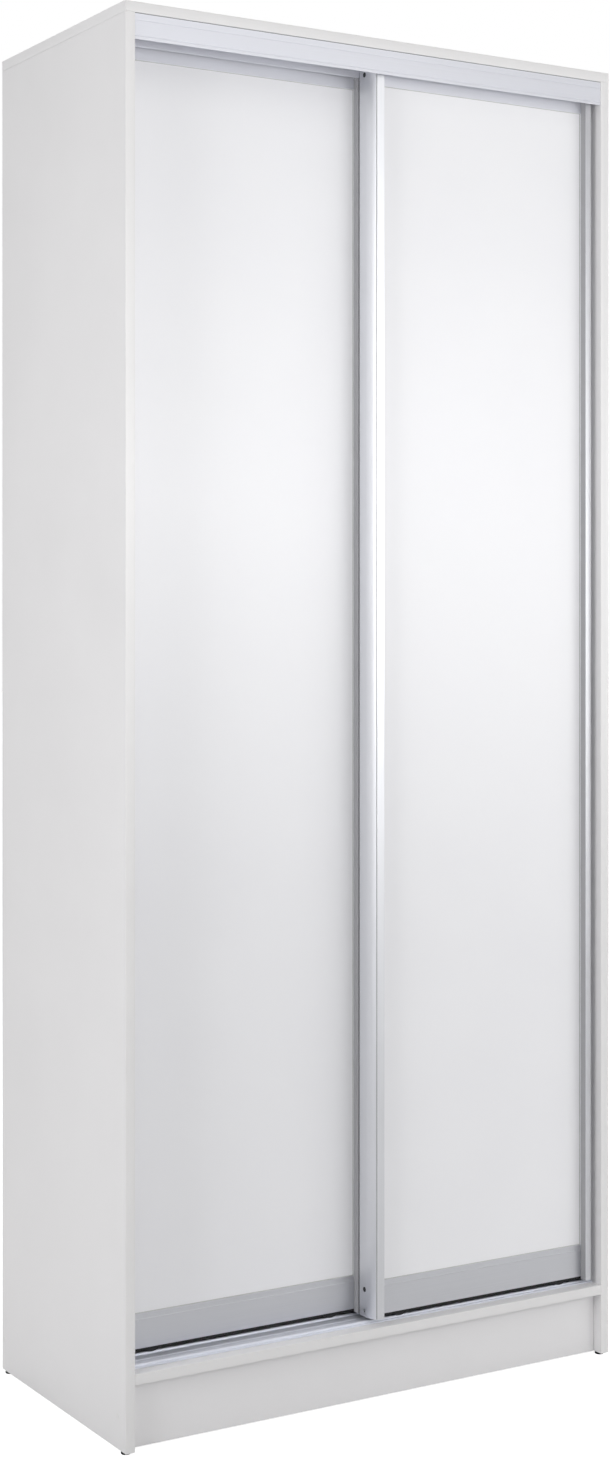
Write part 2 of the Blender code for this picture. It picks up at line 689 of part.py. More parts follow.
def head_rail_outline():
    """The top rail: a plain front, and the whole section upside down."""
    front = [(RAIL_FRONT, HEAD_RAIL_LOW), (RAIL_FRONT, HEAD_RAIL_TOP)]
    upright = rail_outline(HEAD_RAIL_LOW, HEAD_RAIL_TOP, front)
    return [(y, HEAD_RAIL_LOW + HEAD_RAIL_TOP - z) for y, z in reversed(upright)]


def build_rails(prefix, frame, materials):
    start = STILE_WIDTH + SEAT_GAP
    length = DOOR_WIDTH - 2 * start
    for name, outline in (("bottom_rail", bottom_rail_outline()), ("top_rail", head_rail_outline())):
        mesh = prism_mesh(f"{prefix}_{name}", [outline], length, "X")
        add_object(f"{prefix}_{name}", mesh, materials["aluminium"], (start, 0, 0), frame)


def build_panel(prefix, frame, materials):
    side = STILE_WIDTH - PANEL_GRIP
    low = (side, PANEL_Y - PANEL_BOARD / 2, RAIL_TOP - RAIL_LIP + SEAT_GAP)
    high = (DOOR_WIDTH - side, PANEL_Y + PANEL_BOARD / 2, HEAD_RAIL_LOW + RAIL_LIP - SEAT_GAP)
    add_box(f"{prefix}_panel", low, high, materials["panel"], frame)


def build_seal(prefix, frame, outer_side, materials):
    """The pile strip on the flat of the outer stile that closes the gap to the side panel."""
    thick = DOOR_END_GAP - 2 * SEAT_GAP
    near, far = (-SEAT_GAP - thick, -SEAT_GAP)
    if outer_side == "right":
        near, far = (DOOR_WIDTH + SEAT_GAP, DOOR_WIDTH + SEAT_GAP + thick)
    middle = STILE_DEPTH - STILE_FLAT / 2
    low = (near, middle - SEAL_WIDTH / 2, 0)
    add_box(f"{prefix}_edge_seal", low, (far, middle + SEAL_WIDTH / 2, DOOR_HEIGHT), materials["brush"], frame)


def build_wheel(name, frame, x, materials):
    half = WHEEL_WIDTH / 2
    bore = AXLE_RADIUS + AXLE_FIT
    land = RIDGE_WIDTH / 2
    profile = [
        (bore, -half), (WHEEL_RADIUS, -half), (WHEEL_RUN_RADIUS, -land / 2), (WHEEL_RUN_RADIUS, land / 2),
        (WHEEL_RADIUS, half), (bore, half),
    ]
    mesh = turned_mesh(name, profile, FINE_ROUND)
    wheel = add_object(name, mesh, materials["black"], (x, PANEL_Y, WHEEL_CENTRE_Z), frame)
    smooth_round(wheel, 25)


def build_wheel_holder(name, frame, x, materials):
    """A block in the rail's lower channel, slotted for its wheel, with the axle across it."""
    front = RAIL_FRONT + RAIL_SKIN + SEAT_GAP
    rear = RAIL_REAR - RAIL_SKIN - SEAT_GAP
    low = WHEEL_CENTRE_Z - WHEEL_HOLDER_DROP
    high = RAIL_TOP - RAIL_LIP - RAIL_WEB - SEAT_GAP
    slot_half = WHEEL_RADIUS + WHEEL_TIP_GAP
    length = 2 * (slot_half + WHEEL_HOLDER_END)
    middle = (front + rear) / 2
    holder = add_object(
        name, box_mesh(name, (length, rear - front, high - low)), materials["zinc"],
        (x, middle, (low + high) / 2), frame,
    )
    centre = Vector((0, 0, WHEEL_CENTRE_Z - (low + high) / 2))
    slot_width = WHEEL_WIDTH + 2 * WHEEL_SIDE_GAP
    slot_low = -(high - low)
    slot_high = centre.z + slot_half
    slot = box_mesh("slot", (2 * slot_half, slot_width, slot_high - slot_low))
    slot_place = (0, PANEL_Y - middle, (slot_low + slot_high) / 2)
    axle_length = rear - front - 2 * BOARD_EDGE
    apply_boolean(holder, slot, slot_place, "DIFFERENCE")
    apply_boolean(holder, cylinder_mesh("axle", AXLE_RADIUS, axle_length, (0, 1, 0)), centre, "UNION")


def guide_outline():
    """A T-shaped guide: a foot in the top rail's channel and a fin that runs in the track."""
    front = RAIL_FRONT + RAIL_SKIN + SEAT_GAP
    rear = RAIL_REAR - RAIL_SKIN - SEAT_GAP
    foot_low = HEAD_RAIL_LOW + RAIL_LIP + RAIL_WEB + SEAT_GAP
    foot_high = HEAD_RAIL_TOP
    fin_high = ROOF_LOW - SEAT_GAP - HEAD_WEB - GUIDE_REACH - DOOR_LOW
    half = GUIDE_THICKNESS / 2
    return [
        (front, foot_low), (rear, foot_low), (rear, foot_high), (PANEL_Y + half, foot_high),
        (PANEL_Y + half, fin_high), (PANEL_Y - half, fin_high), (PANEL_Y - half, foot_high), (front, foot_high),
    ]


def build_running_gear(prefix, frame, materials):
    places = {"left": WHEEL_INSET, "right": DOOR_WIDTH - WHEEL_INSET}
    for side, x in places.items():
        build_wheel_holder(f"{prefix}_{side}_wheel_holder", frame, x, materials)
        build_wheel(f"{prefix}_{side}_wheel", frame, x, materials)
    starts = {"left": GUIDE_INSET, "right": DOOR_WIDTH - GUIDE_INSET - GUIDE_LENGTH}
    for side, x in starts.items():
        name = f"{prefix}_{side}_top_guide"
        mesh = prism_mesh(name, [guide_outline()], GUIDE_LENGTH, "X")
        add_object(name, mesh, materials["nylon"], (x, 0, 0), frame)


def build_door(prefix, place, outer_side, materials):
    frame = bpy.data.objects.new(prefix + "_frame", None)
    bpy.context.collection.objects.link(frame)
    frame.location = place
    build_stiles(prefix, frame, materials)
    build_rails(prefix, frame, materials)
    build_panel(prefix, frame, materials)
    build_seal(prefix, frame, outer_side, materials)
    build_running_gear(prefix, frame, materials)


def build_doors(materials):
    """The left door runs in the rear lane and the right door in the front lane."""
    left_x = INNER_LEFT + DOOR_END_GAP
    right_x = INNER_RIGHT - DOOR_END_GAP - DOOR_WIDTH
    build_door("left_door", (left_x, REAR_LANE, DOOR_LOW), "left", materials)
    build_door("right_door", (right_x, FRONT_LANE, DOOR_LOW), "right", materials)


def main():
    clear_scene()
    materials = make_materials()
    build_side_panels(materials)
    build_top_and_floor(materials)
    build_feet(materials)
    build_back(materials)
    build_inside_boards(materials)
    build_shelves(materials)
    build_shelf_pins(materials)
    build_hanging_rail(materials)
    build_bottom_track(materials)
    build_top_track(materials)
    build_doors(materials)


main()
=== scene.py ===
# %% [markdown]
# # A wardrobe with two sliding doors
#
# The carcass is white melamine-faced chipboard. Two doors framed in anodised aluminium run in two lanes,
# the left door behind the right one. The shapes, sizes and joints come from a finished CAD model. This
# lesson dresses that model: it lights it, gives every finish its own procedural material, and adds the
# small pieces that make board furniture look real, such as edge banding, gaskets, screws and pile seals.

# %% Load the CAD model
import math
import random

import bmesh
import bpy
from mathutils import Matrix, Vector


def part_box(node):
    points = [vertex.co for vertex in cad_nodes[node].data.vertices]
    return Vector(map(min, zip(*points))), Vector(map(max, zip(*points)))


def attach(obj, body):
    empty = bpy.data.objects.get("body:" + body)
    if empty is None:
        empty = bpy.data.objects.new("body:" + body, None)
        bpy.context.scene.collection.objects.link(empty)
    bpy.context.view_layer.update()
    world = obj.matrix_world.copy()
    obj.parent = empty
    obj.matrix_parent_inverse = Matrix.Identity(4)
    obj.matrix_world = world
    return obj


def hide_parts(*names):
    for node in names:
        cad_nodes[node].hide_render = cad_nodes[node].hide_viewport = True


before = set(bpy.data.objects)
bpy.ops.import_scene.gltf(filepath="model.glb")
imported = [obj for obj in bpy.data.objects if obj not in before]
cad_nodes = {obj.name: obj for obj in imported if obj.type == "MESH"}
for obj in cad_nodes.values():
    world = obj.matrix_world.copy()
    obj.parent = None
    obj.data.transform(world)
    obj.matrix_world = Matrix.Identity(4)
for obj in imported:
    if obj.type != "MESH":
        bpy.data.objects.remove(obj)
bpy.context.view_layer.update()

MM = 0.001

# %% [markdown]
# ## Camera
#
# Furniture is shown with a level camera, so that upright edges stay upright, and the lens is shifted up
# or down instead of being tilted. A level camera in Blender points along its own -Z, so it is stood up by
# 90 degrees and then turned about the vertical. The shift moves the picture without moving the camera.

# %% Camera
CAMERA_PLACE = (-2.014, -3.388, 1.281)
CAMERA_TURN = math.radians(31.63)
CAMERA_LENS = 57.23
CAMERA_SHIFT = (-0.0271, -0.0827)

camera_data = bpy.data.cameras.new("camera")
camera_data.lens = CAMERA_LENS
camera_data.shift_x, camera_data.shift_y = CAMERA_SHIFT
camera = bpy.data.objects.new("camera", camera_data)
camera.location = CAMERA_PLACE
camera.rotation_euler = (math.radians(90), 0, -CAMERA_TURN)
bpy.context.scene.collection.objects.link(camera)
bpy.context.scene.camera = camera
print("Camera", round(Vector(CAMERA_PLACE).length, 2), "m from the middle of the floor")

# %% [markdown]
# ## Colours and nodes
#
# Designers write colours as sRGB hex codes, but a shader works with linear light. One function converts
# them. Another adds a shader node together with its settings and its links, which keeps each material
# down to the few lines that say what the finish looks like.

# %% Helpers for materials
def hex_colour(code):
    """Turns an sRGB code such as F2F1F0 into linear red, green, blue and alpha."""
    channels = [int(code[start:start + 2], 16) / 255 for start in (0, 2, 4)]
    linear = [c / 12.92 if c <= 0.04045 else ((c + 0.055) / 1.055) ** 2.4 for c in channels]
    return (*linear, 1.0)


def add_node(material, kind, links=None, **settings):
    """Adds a node. `links` maps an input to a value or to another node's output."""
    tree = material.node_tree
    node = tree.nodes.new("ShaderNode" + kind)
    for name, value in settings.items():
        setattr(node, name, value)
    for socket, value in (links or {}).items():
        if isinstance(value, bpy.types.NodeSocket):
            tree.links.new(value, node.inputs[socket])
        else:
            node.inputs[socket].default_value = value
    return node


def start_material(name, **values):
    """A new material whose Principled shader has these fixed values."""
    material = bpy.data.materials.new(name)
    material.use_nodes = True
    shader = material.node_tree.nodes["Principled BSDF"]
    for socket, value in values.items():
        shader.inputs[socket.replace("_", " ")].default_value = value
    return material, shader


def connect(material, output, socket):
    material.node_tree.links.new(output, socket)


def pattern(material, cell, stretch=(1, 1, 1), detail=2.0):
    """Noise whose cells are `cell` metres across, drawn out by `stretch`, in the piece's own axes."""
    place = add_node(material, "TexCoord")
    scale = [1 / (cell * factor) for factor in stretch]
    mapped = add_node(material, "Mapping", {"Vector": place.outputs["Object"], "Scale": scale})
    noise = add_node(
        material, "TexNoise", {"Vector": mapped.outputs["Vector"], "Scale": 1.0, "Detail": detail}
    )
    return noise.outputs["Fac"]


def spread(material, value, low, high, start=0.3, end=0.7):
    """Maps a pattern's middle stretch onto the range from low to high."""
    links = {"Value": value, "From Min": start, "From Max": end, "To Min": low, "To Max": high}
    return add_node(material, "MapRange", links).outputs["Result"]


def tint(material, value, first, second):
    """Blends two hex colours by a pattern."""
    blend = add_node(material, "Mix", {0: value}, data_type="RGBA")
    blend.inputs[6].default_value = hex_colour(first)
    blend.inputs[7].default_value = hex_colour(second)
    return blend.outputs[2]


def relief(material, shader, height, depth):
    """Raises the surface by a pattern, `depth` metres from its lowest to its highest point."""
    bump = add_node(material, "Bump", {"Height": height, "Distance": depth, "Strength": 1.0})
    connect(material, bump.outputs["Normal"], shader.inputs["Normal"])


# %% [markdown]
# ## White melamine board
#
# Melamine-faced chipboard is pressed between steel plates with resin-soaked paper. The face is hard,
# even and slightly pearled, so its gloss is soft and broken up by a shallow grain. The real grain is
# about half a millimetre wide. Here it is drawn nearly three times coarser so that it still shows. A
# second, very large pattern varies colour and gloss by a hair, because an even white looks like plastic.

# %% Melamine
def melamine(name, light, shade, gloss, grain):
    material, shader = start_material(name, IOR=1.52)
    cloud = pattern(material, 180 * MM, detail=3.0)
    connect(material, tint(material, cloud, shade, light), shader.inputs["Base Color"])
    connect(material, spread(material, cloud, gloss - 0.03, gloss + 0.03), shader.inputs["Roughness"])
    relief(material, shader, pattern(material, 1.4 * MM), grain)
    return material


white_melamine = melamine("white_melamine_board", "EDECED", "E8E7E8", 0.42, 0.02 * MM)
white_door_melamine = melamine("white_melamine_door_panel", "F3F3F5", "EFEFF2", 0.36, 0.012 * MM)
white_abs_edging = melamine("white_abs_edging", "E9E8E8", "E4E3E3", 0.34, 0.008 * MM)
print("Board, door panel and edging finishes made")

# %% [markdown]
# ## Anodised aluminium
#
# The profiles are extruded: hot aluminium is pushed through a die, which leaves faint lines along the
# length. Etching and anodising then turn the mirror into satin silver. So the metal is fully metallic,
# its roughness is moderate, and a noise that is stretched a few hundred times along the profile gives
# the die lines. Stiles stand upright and rails lie across, so there is one version for each direction.
# The floor track is etched longer before it is anodised. It is paler and scatters more, so wheels leave no
# glossy trail on it. The head track and the doors' top rails have an etch between that and the plain one, and
# a paler tint that paints light into the shade under the fascia. The stiles' version is also paler, which
# paints light onto the stiles.

# %% Anodised aluminium
def anodised_aluminium(name, along, shade="D0D1D6", light="DCDDE1", gloss=0.34):
    material, shader = start_material(name, Metallic=1.0)
    stretch = [400 if axis == along else 1 for axis in range(3)]
    lines = pattern(material, 0.9 * MM, stretch, detail=3.0)
    cloud = pattern(material, 90 * MM)
    connect(material, tint(material, lines, shade, light), shader.inputs["Base Color"])
    line_gloss = spread(material, lines, gloss, gloss + 0.1)
    rough = add_node(material, "Math", {0: line_gloss, 1: spread(material, cloud, 0, 0.04)})
    connect(material, rough.outputs["Value"], shader.inputs["Roughness"])
    relief(material, shader, lines, 0.006 * MM)
    return material


aluminium_across = anodised_aluminium("anodised_aluminium_across", 0)
# the stiles' paler tint is painted light, lifting them where they stand in shade
aluminium_upright = anodised_aluminium("anodised_aluminium_upright", 2, "DFE0E4", "E9EAED", 0.36)
aluminium_track = anodised_aluminium("etched_anodised_aluminium_track", 0, "E4E6EE", "EFF1F7", 0.6)
# the head's paler tint is painted light, lifting the shade under the fascia; its higher roughness is the etch
aluminium_head = anodised_aluminium("etched_aluminium_head_painted_light", 0, "DEDFE5", "E9EAF0", 0.5)
print("Aluminium made for rails, stiles, the head and the floor track")

# %% [markdown]
# ## Steel, chrome and plastics
#
# The small parts are quick to describe. Zinc plating is a dull metal with a bluish and yellowish bloom.
# Chrome is nearly a mirror with a faint waviness from the tube below. Nylon and polypropylene are matt
# with the fine sparkle of a blasted mould. The pile of a brush seal scatters light at its edge, which is
# what the sheen value is for.

# %% Metals
def zinc_plated_steel():
    material, shader = start_material("zinc_plated_steel", Metallic=1.0)
    bloom = pattern(material, 6 * MM, detail=4.0)
    connect(material, tint(material, bloom, "AEB4B9", "C2BDAE"), shader.inputs["Base Color"])
    connect(material, spread(material, bloom, 0.28, 0.42), shader.inputs["Roughness"])
    relief(material, shader, pattern(material, 0.8 * MM), 0.01 * MM)
    return material


def chromed_steel():
    material, shader = start_material("chromed_steel", Metallic=1.0)
    smudge = pattern(material, 25 * MM, detail=4.0)
    connect(material, tint(material, smudge, "D9DBDD", "E1E2E3"), shader.inputs["Base Color"])
    connect(material, spread(material, smudge, 0.06, 0.12), shader.inputs["Roughness"])
    relief(material, shader, pattern(material, 12 * MM, (1, 6, 1)), 0.01 * MM)
    return material


zinc = zinc_plated_steel()
chrome = chromed_steel()

# %% Plastics and pile
def moulded_plastic(name, light, shade, gloss, grain, **values):
    material, shader = start_material(name, **values)
    cloud = pattern(material, 9 * MM)
    connect(material, tint(material, cloud, shade, light), shader.inputs["Base Color"])
    connect(material, spread(material, cloud, gloss - 0.05, gloss + 0.05), shader.inputs["Roughness"])
    relief(material, shader, pattern(material, 0.7 * MM), grain)
    return material


grey_nylon = moulded_plastic("grey_nylon", "A3A4A6", "96979A", 0.48, 0.03 * MM, IOR=1.53)
black_polypropylene = moulded_plastic("black_polypropylene", "202021", "17171A", 0.52, 0.03 * MM, IOR=1.49)
white_polypropylene = moulded_plastic("white_polypropylene", "EBEAEA", "E5E4E4", 0.44, 0.015 * MM, IOR=1.49)
clear_grey_vinyl = moulded_plastic("grey_vinyl_gasket", "C9C9C8", "BDBDBC", 0.38, 0.01 * MM, IOR=1.53)
# painted shade: this grey covers the stiles' inner walls and face creases and stands in for their shade
painted_shade_vinyl = moulded_plastic("painted_shade_vinyl", "A4A4A7", "9C9C9F", 0.5, 0.01 * MM, IOR=1.53)
# painted shadow: a grey strip in the slit under the top board stands in for its shadow line
grey_joint = moulded_plastic("grey_joint_sealant", "8C8C90", "838387", 0.7, 0.01 * MM, IOR=1.5)
# painted shade: a black strip below each bottom rail stands in for the deep shade in the gap above the wheels
painted_shade_rubber = moulded_plastic("black_strip_painted_shade", "0E0E0F", "0A0A0B", 0.7, 0.02 * MM, IOR=1.5)
pile_fibre = moulded_plastic("grey_pile_fibre", "8D8E91", "66676A", 0.9, 0.3 * MM, Sheen_Weight=0.4)
# painted shade: the black of this pile stands in for the shade in the gap between the two doors
painted_shade_pile = moulded_plastic("black_fibre_painted_shade", "2A2A2C", "1C1C1E", 0.9, 0.3 * MM, Sheen_Weight=0.3)
print("Steel, chrome, nylon, polypropylene, vinyl and pile made")

# %% [markdown]
# ## Hardboard backs
#
# The back leaves are 3 mm hardboard: wood fibre pressed into a thin sheet. The side that faces the
# clothes is lacquered white and the side that faces the wall is left raw, brown and flecked with fibre.
# One material does both: the piece's own normal says which way a point faces, and picks the side.

# %% Hardboard
def hardboard():
    material, shader = start_material("lacquered_hardboard", IOR=1.5)
    place = add_node(material, "TexCoord")
    facing = add_node(material, "SeparateXYZ", {0: place.outputs["Normal"]})
    raw = add_node(material, "Math", {0: facing.outputs["Y"], 1: 0.5}, operation="GREATER_THAN").outputs[0]
    flecks = pattern(material, 1.6 * MM, (3, 1, 1), detail=5.0)
    cloud = pattern(material, 120 * MM, detail=4.0)
    fibre = tint(material, spread(material, flecks, 0, 1), "9A7650", "BE9C74")
    fibre_cloud = tint(material, cloud, "A98660", "B8946C")
    brown = add_node(material, "Mix", {0: 0.5, 6: fibre, 7: fibre_cloud}, data_type="RGBA").outputs[2]
    lacquer = tint(material, cloud, "E6E6E4", "EBEBEA")
    colour = add_node(material, "Mix", {0: raw, 6: lacquer, 7: brown}, data_type="RGBA").outputs[2]
    connect(material, colour, shader.inputs["Base Color"])
    connect(material, spread(material, raw, 0.4, 0.78, 0.0, 1.0), shader.inputs["Roughness"])
    relief(material, shader, flecks, 0.05 * MM)
    return material


back_hardboard = hardboard()

# %% [markdown]
# ## Dress the CAD nodes
#
# Every CAD node keeps its shape and gets its finish by name. CAD meshes arrive as separate flat
# triangles, so two modifiers tidy them without touching their points: a small node group joins the
# triangles and shades gentle bends smooth, and a bevel of a few tenths of a millimetre breaks the edges,
# because no real edge is perfectly sharp and it is the broken edge that catches the light.

# %% Join and smooth the CAD meshes
def join_and_smooth(limit):
    """A geometry node group that merges split points and keeps edges sharp only above an angle."""
    group = bpy.data.node_groups.new("join_and_smooth", "GeometryNodeTree")
    for way in ("INPUT", "OUTPUT"):
        group.interface.new_socket("Geometry", in_out=way, socket_type="NodeSocketGeometry")
    made = {}
    kinds = (
        "NodeGroupInput", "GeometryNodeRemoveAttribute", "GeometryNodeMergeByDistance",
        "GeometryNodeInputMeshEdgeAngle", "FunctionNodeCompare", "GeometryNodeSetShadeSmooth",
        "NodeGroupOutput",
    )
    for kind in kinds:
        made[kind] = group.nodes.new(kind)
    faces = made["GeometryNodeSetShadeSmooth"]
    edges = group.nodes.new("GeometryNodeSetShadeSmooth")
    edges.domain = "EDGE"
    compare = made["FunctionNodeCompare"]
    compare.operation = "LESS_THAN"
    compare.inputs[1].default_value = limit
    made["GeometryNodeRemoveAttribute"].inputs["Name"].default_value = "custom_normal"
    made["GeometryNodeMergeByDistance"].inputs["Distance"].default_value = 0.005 * MM
    link = group.links.new
    link(made["NodeGroupInput"].outputs[0], made["GeometryNodeRemoveAttribute"].inputs[0])
    link(made["GeometryNodeRemoveAttribute"].outputs[0], made["GeometryNodeMergeByDistance"].inputs[0])
    link(made["GeometryNodeMergeByDistance"].outputs[0], faces.inputs[0])
    link(faces.outputs[0], edges.inputs[0])
    link(made["GeometryNodeInputMeshEdgeAngle"].outputs[0], compare.inputs[0])
    link(compare.outputs[0], edges.inputs["Shade Smooth"])
    link(edges.outputs[0], made["NodeGroupOutput"].inputs[0])
    return group


SMOOTH_BELOW = math.radians(28)
BEVEL_ABOVE = math.radians(40)
smooth_group = join_and_smooth(SMOOTH_BELOW)


def soften(piece, width):
    """Joins and smooths a CAD mesh, then breaks its sharp edges."""
    joined = piece.modifiers.new("join_and_smooth", "NODES")
    joined.node_group = smooth_group
    if width:
        bevel = piece.modifiers.new("broken_edges", "BEVEL")
        bevel.width = width
        bevel.segments = 2
        bevel.limit_method = "ANGLE"
        bevel.angle_limit = BEVEL_ABOVE
        bevel.harden_normals = True


# %% Give each CAD node its finish
def finish_of(node):
    """The material and edge width for a CAD node, from its name."""
    if "stile" in node:
        return aluminium_upright, 0.3 * MM
    if node == "bottom_track":
        return aluminium_track, 0.25 * MM
    if node == "top_track" or node.endswith("top_rail"):
        return aluminium_head, 0.25 * MM
    if node.endswith("bottom_rail"):
        return aluminium_across, 0.25 * MM
    if "wheel_holder" in node:
        return zinc, 0.4 * MM
    if "pin" in node:
        return zinc, 0
    # the wheels are real parts, and their black colour paints the shade in the gap under the rails
    if node.endswith("wheel"):
        return black_polypropylene, 0.3 * MM
    if "top_guide" in node:
        return grey_nylon, 0.5 * MM
    if "holder" in node or "hanging" in node:
        return chrome, 0.3 * MM
    if "foot" in node:
        return black_polypropylene, 0
    if "back_panel" in node:
        return back_hardboard, 0
    if "seal" in node:
        return pile_fibre, 0
    if node.startswith(("left_door", "right_door")):
        return white_door_melamine, 0
    return white_melamine, 0


for node_name, node in cad_nodes.items():
    finish, edge = finish_of(node_name)
    for material_slot in node.material_slots:
        material_slot.material = finish
    soften(node, edge)
print("Finishes given to", len(cad_nodes), "CAD nodes")

# %% [markdown]
# ## Adding pieces
#
# The next cells add the small things that the solids leave out. Three builders make nearly all of them: a
# bar with a drawn section, a turned piece such as a screw or a cap, and a frame with mitred corners. All
# places are measured from the CAD boxes, so the pieces stay put if the model changes. Their own small
# sizes are set in each cell.

# %% Builders for added pieces
X, Y, Z = Vector((1, 0, 0)), Vector((0, 1, 0)), Vector((0, 0, 1))


def add_piece(name, work, finish, body, bend=30):
    """Turns a bmesh into an object that rides on a body, shaded smooth below a bend in degrees."""
    bmesh.ops.recalc_face_normals(work, faces=work.faces)
    mesh = bpy.data.meshes.new(name)
    work.to_mesh(mesh)
    work.free()
    mesh.shade_smooth()
    mesh.set_sharp_from_angle(angle=math.radians(bend))
    mesh.materials.append(finish)
    piece = bpy.data.objects.new(name, mesh)
    bpy.context.scene.collection.objects.link(piece)
    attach(piece, body)
    return piece


def add_bar(work, outline, start, across, outward, run):
    """Extrudes an outline of (across, outward) points from a start along the vector `run`."""
    ends = []
    for shift in (Vector(), run):
        ends.append([work.verts.new(start + across * u + outward * v + shift) for u, v in outline])
    for end in ends:
        work.faces.new(end)
    for index in range(len(outline)):
        work.faces.new((ends[0][index - 1], ends[0][index], ends[1][index], ends[1][index - 1]))


def add_turned(work, rings, place, axis, steps=24):
    """Turns (radius, height) rings about an axis. A radius may also be a function of the angle."""
    side = axis.orthogonal().normalized()
    other = axis.cross(side)
    angles = [2 * math.pi * step / steps for step in range(steps)]
    loops = []
    for radius, height in rings:
        reach = [radius(angle) if callable(radius) else radius for angle in angles]
        points = [side * r * math.cos(a) + other * r * math.sin(a) for r, a in zip(reach, angles)]
        loops.append([work.verts.new(place + point + axis * height) for point in points])
    for lower, upper in zip(loops, loops[1:]):
        for index in range(steps):
            work.faces.new((lower[index - 1], lower[index], upper[index], upper[index - 1]))
    work.faces.new(loops[0])
    work.faces.new(loops[-1])


def rounded_strip(width, height, radius, steps=4):
    """The outline of a strip whose two outer corners are rounded."""
    turns = [math.pi / 2 * step / steps for step in range(steps + 1)]
    left = [(radius - radius * math.cos(a), height - radius + radius * math.sin(a)) for a in turns]
    right = [(width - u, v) for u, v in reversed(left)]
    return [(0, -height), *left, *right, (width, -height)]


# %% [markdown]
# ## Edge banding
#
# The cut edges of chipboard are covered with a strip of ABS plastic, glued on and trimmed with a small
# radius. The strip is a touch glossier than the board and leaves a hairline where it meets the face. Each
# band covers one edge of one board, and stands 0.4 mm proud so that its rounded corner catches light. The
# bands on the ends of the top board are thinner, so that they lie nearly flush with the sides below. They
# have the board's own finish and lap the joint under them by 0.3 mm, so that it does not show.

# %% Edge banding
BAND_PROUD = 0.4 * MM
BAND_RADIUS = 0.8 * MM
END_BAND_PROUD = 0.06 * MM
BAND_OVERLAP = 0.04 * MM
END_BAND_OVERLAP = 0.3 * MM


def band_edge(work, node, outward, proud, bend, overlap):
    """Covers the edge of a board that faces outward, along the board's longer way."""
    low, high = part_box(node)
    size = high - low
    ways = [way for way in (X, Y, Z) if abs(way.dot(outward)) < 0.5]
    across, along = sorted(ways, key=lambda way: way.dot(size))
    start = Vector(high if sum(outward) > 0 else low)
    for way in ways:
        start += way * (low - start).dot(way)
    outline = rounded_strip(across.dot(size) + 2 * overlap, proud + bend, bend)
    start += -across * overlap - outward * bend
    add_bar(work, outline, start, across, outward, along * along.dot(size))


FRONT_BANDED = ("left_side_panel", "right_side_panel", "top_panel", "bottom_panel", "hat_shelf")
FRONT_BANDED += ("centre_partition", "shelf_1", "shelf_2", "shelf_3")
banded = [(node, "front", -Y, BAND_PROUD, BAND_RADIUS, BAND_OVERLAP) for node in FRONT_BANDED]
for side, outward in (("left", -X), ("right", X)):
    banded.append(("top_panel", side, outward, END_BAND_PROUD, END_BAND_PROUD, END_BAND_OVERLAP))
for node_name, side, *sizes in banded:
    band = bmesh.new()
    band_edge(band, node_name, *sizes)
    finish = white_abs_edging if side == "front" else white_melamine
    add_piece(f"{node_name}_{side}_edging", band, finish, "carcass", 20)
print(len(banded), "edges banded")

# %% [markdown]
# ## Caps, screws and glides
#
# Flat-pack boards are joined with screws whose heads are hidden under plastic caps, and with cam locks
# under thin discs. The caps stand less than a millimetre proud. The screws in the door frames have a
# cross recess, which is drawn by giving the inner rings of a turned piece a cross-shaped radius. They sit
# deep in the lowest hole of each stile. The hole above it and the one at the head are closed with small
# black plugs.

# %% Caps and cam covers
def cap_rings(radius, height):
    """A low dome with a rounded rim."""
    return [
        (radius, -height), (radius, height * 0.35), (radius * 0.96, height * 0.7),
        (radius * 0.8, height * 0.9), (radius * 0.45, height), (radius * 0.1, height * 1.02),
    ]


caps = bmesh.new()
side_low, side_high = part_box("left_side_panel")
CAP_RADIUS = 4.5 * MM
CAP_HEIGHT = 0.6 * MM
for node_name in ("front_plinth", "rear_plinth"):
    low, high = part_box(node_name)
    middle = (low + high) / 2
    for x, axis in ((side_low.x, -X), (-side_low.x, X)):
        add_turned(caps, cap_rings(CAP_RADIUS, CAP_HEIGHT), Vector((x, middle.y, middle.z)), axis)
add_piece("plinth_screw_caps", caps, white_polypropylene, "carcass")

cams = bmesh.new()
CAM_RADIUS = 8.5 * MM
CAM_INSET = 34 * MM
CAM_FRONT = 50 * MM
CAM_REAR = 60 * MM
for node_name in ("hat_shelf", "top_panel"):
    low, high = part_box(node_name)
    front_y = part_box("hat_shelf")[0].y + CAM_FRONT
    for x in (side_high.x + CAM_INSET, -side_high.x - CAM_INSET):
        for y in (front_y, high.y - CAM_REAR):
            add_turned(cams, cap_rings(CAM_RADIUS, CAP_HEIGHT), Vector((x, y, low.z)), -Z, 32)
add_piece("cam_lock_covers", cams, white_polypropylene, "carcass")

# %% Screws with a cross recess
def cross_recess(reach, arm):
    """The radius of a cross with two arms, as a function of the angle."""
    def radius(angle):
        along_x = min(reach, arm / max(abs(math.sin(angle)), 1e-6))
        along_y = min(reach, arm / max(abs(math.cos(angle)), 1e-6))
        return max(along_x, along_y)

    return radius


def screw_rings(radius, height):
    """A domed head with a tapering cross recess."""
    wide = cross_recess(radius * 0.62, radius * 0.17)
    narrow = cross_recess(radius * 0.3, radius * 0.12)
    return [
        (radius * 0.9, -height), (radius, 0), (radius * 0.97, height * 0.35), (radius * 0.82, height * 0.75),
        (radius * 0.66, height * 0.95), (wide, height), (narrow, -height * 0.5),
    ]


def plug_rings(radius):
    """A thin dished cap with a rounded rim."""
    return [
        (radius * 0.9, -0.4 * MM), (radius, 0), (radius, 0.4 * MM), (radius * 0.9, 0.6 * MM),
        (radius * 0.75, 0.6 * MM), (radius * 0.6, 0.3 * MM),
    ]


